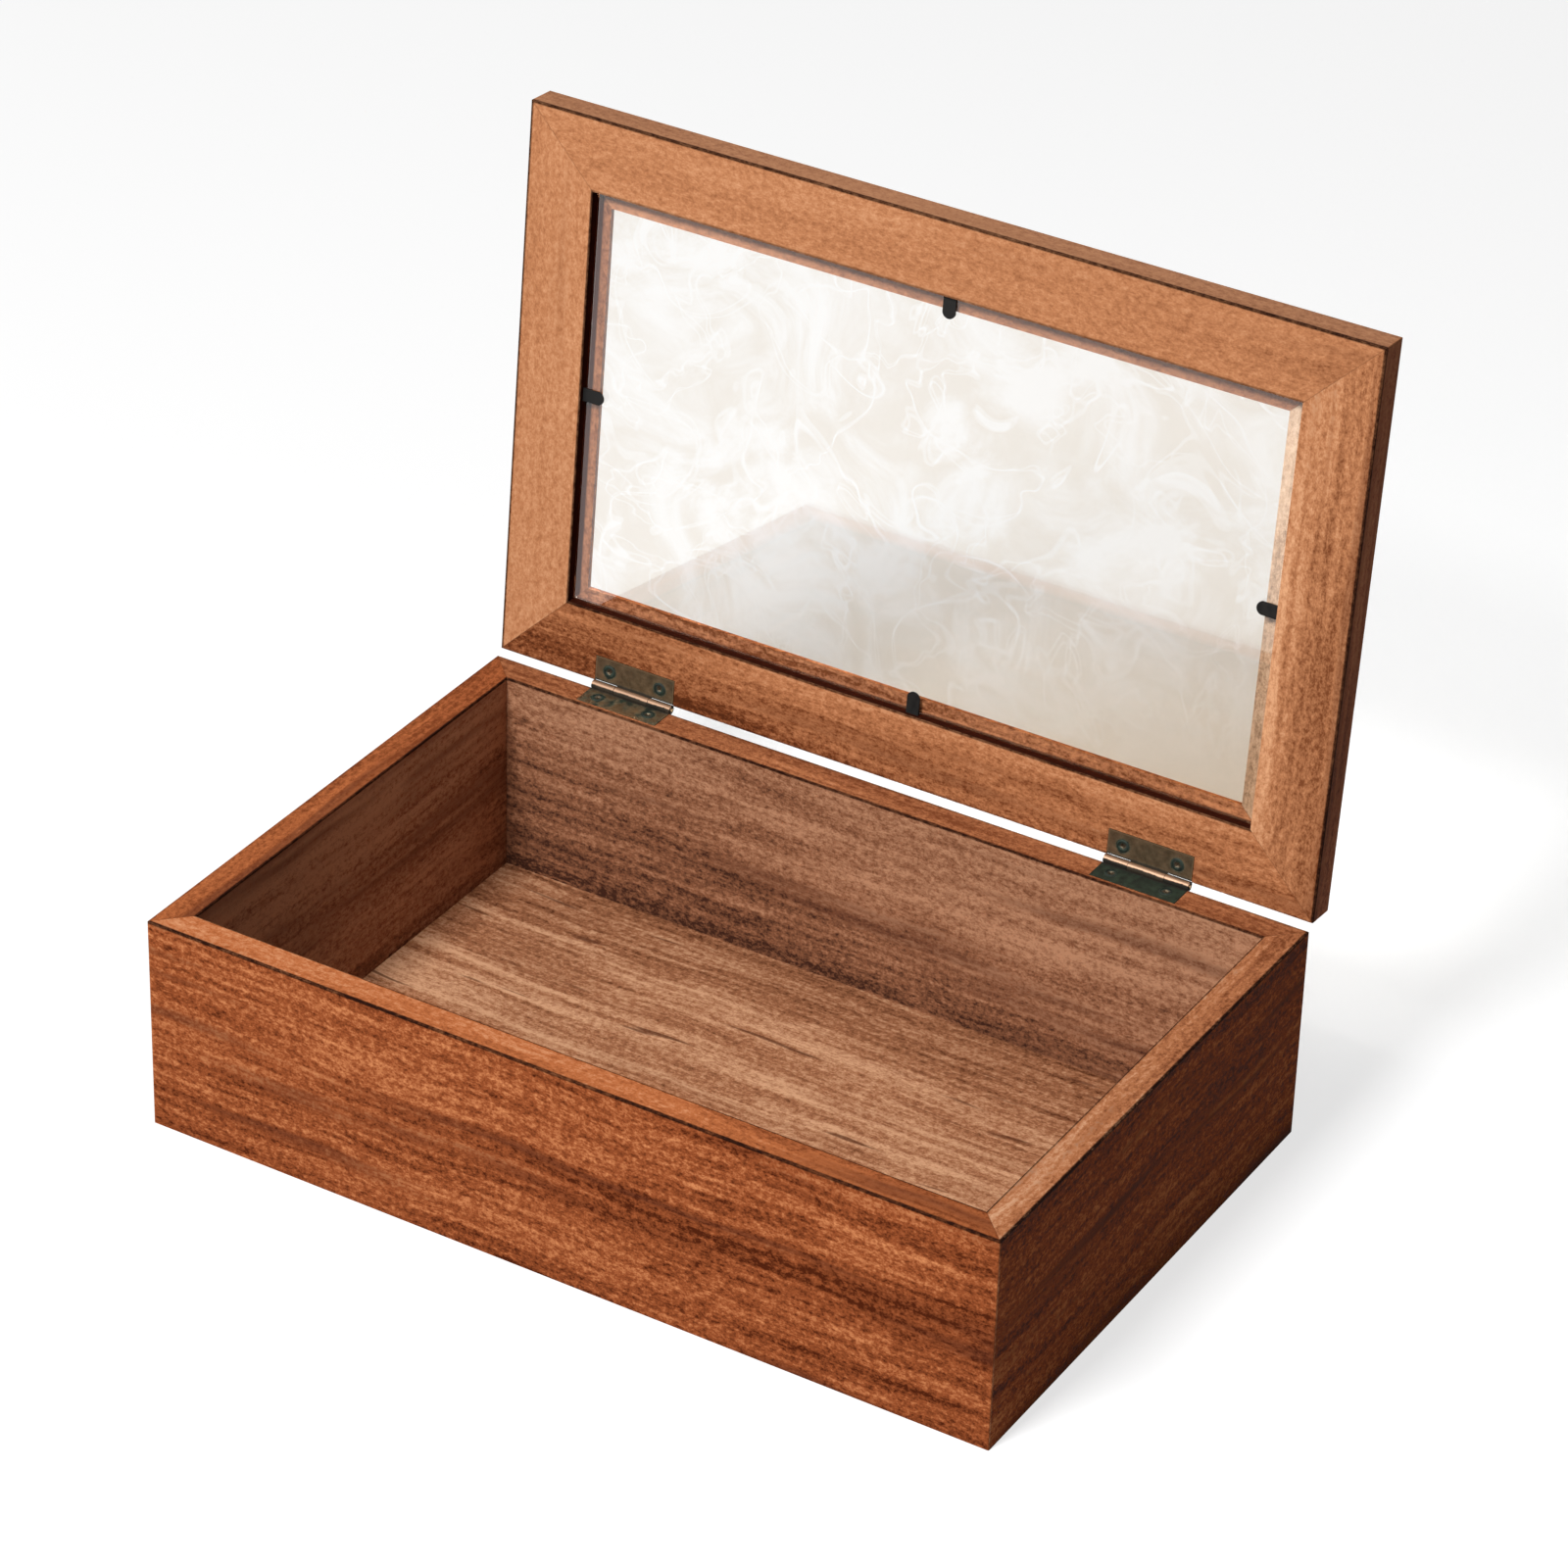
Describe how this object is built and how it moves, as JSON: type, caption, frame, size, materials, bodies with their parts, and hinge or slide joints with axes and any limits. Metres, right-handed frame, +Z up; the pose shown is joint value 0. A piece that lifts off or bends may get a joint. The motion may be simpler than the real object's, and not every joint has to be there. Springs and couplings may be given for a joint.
{
  "type": "glass-lidded wooden box",
  "caption": "Wooden keepsake box with mitred walls and a let-in floor, closed by a framed glass lid that swings on stop hinges and leans open just past upright.",
  "frame": {"origin": "middle of the underside, on the plane that the box stands on", "axes": "+X along the front to the right, +Y from the front to the hinged back, +Z up"},
  "size_m": [0.28, 0.2074, 0.2509],
  "materials": {
    "stained_wood": "reddish-brown stain, satin",
    "floor_wood": "paler brown stain, matt",
    "key_wood": "bare pale hardwood",
    "clear_glass": "clear float glass",
    "aged_brass": "antique, dull olive brown",
    "screw_brass": "dark green-brown patina",
    "black_steel": "matt black",
    "brad_steel": "bright wire"
  },
  "bodies": {
    "box": {"front_wall": "stained_wood", "back_wall": "stained_wood", "left_wall": "stained_wood", "right_wall": "stained_wood", "floor_panel": "floor_wood", "floor_brads": "brad_steel", "front_left_tongue": "key_wood", "front_right_tongue": "key_wood", "back_left_tongue": "key_wood", "back_right_tongue": "key_wood", "left_hinge_box_leaf": "aged_brass", "left_hinge_pin": "aged_brass", "left_hinge_box_screws": "screw_brass", "right_hinge_box_leaf": "aged_brass", "right_hinge_pin": "aged_brass", "right_hinge_box_screws": "screw_brass"},
    "lid": {"lid_front_rail": "stained_wood", "lid_back_rail": "stained_wood", "lid_left_stile": "stained_wood", "lid_right_stile": "stained_wood", "glass_pane": "clear_glass", "front_glazing_point": "black_steel", "back_glazing_point": "black_steel", "left_glazing_point": "black_steel", "right_glazing_point": "black_steel", "front_left_biscuit": "key_wood", "front_right_biscuit": "key_wood", "back_left_biscuit": "key_wood", "back_right_biscuit": "key_wood", "left_hinge_lid_leaf": "aged_brass", "left_hinge_lid_screws": "screw_brass", "right_hinge_lid_leaf": "aged_brass", "right_hinge_lid_screws": "screw_brass"}
  },
  "joints": [
    {"name": "lid_swing", "type": "hinge", "parent": "box", "child": "lid", "pos_m": [0, 0.091, 0.0707], "axis": [1, 0, 0], "range_deg": [0, 95.42]}
  ]
}
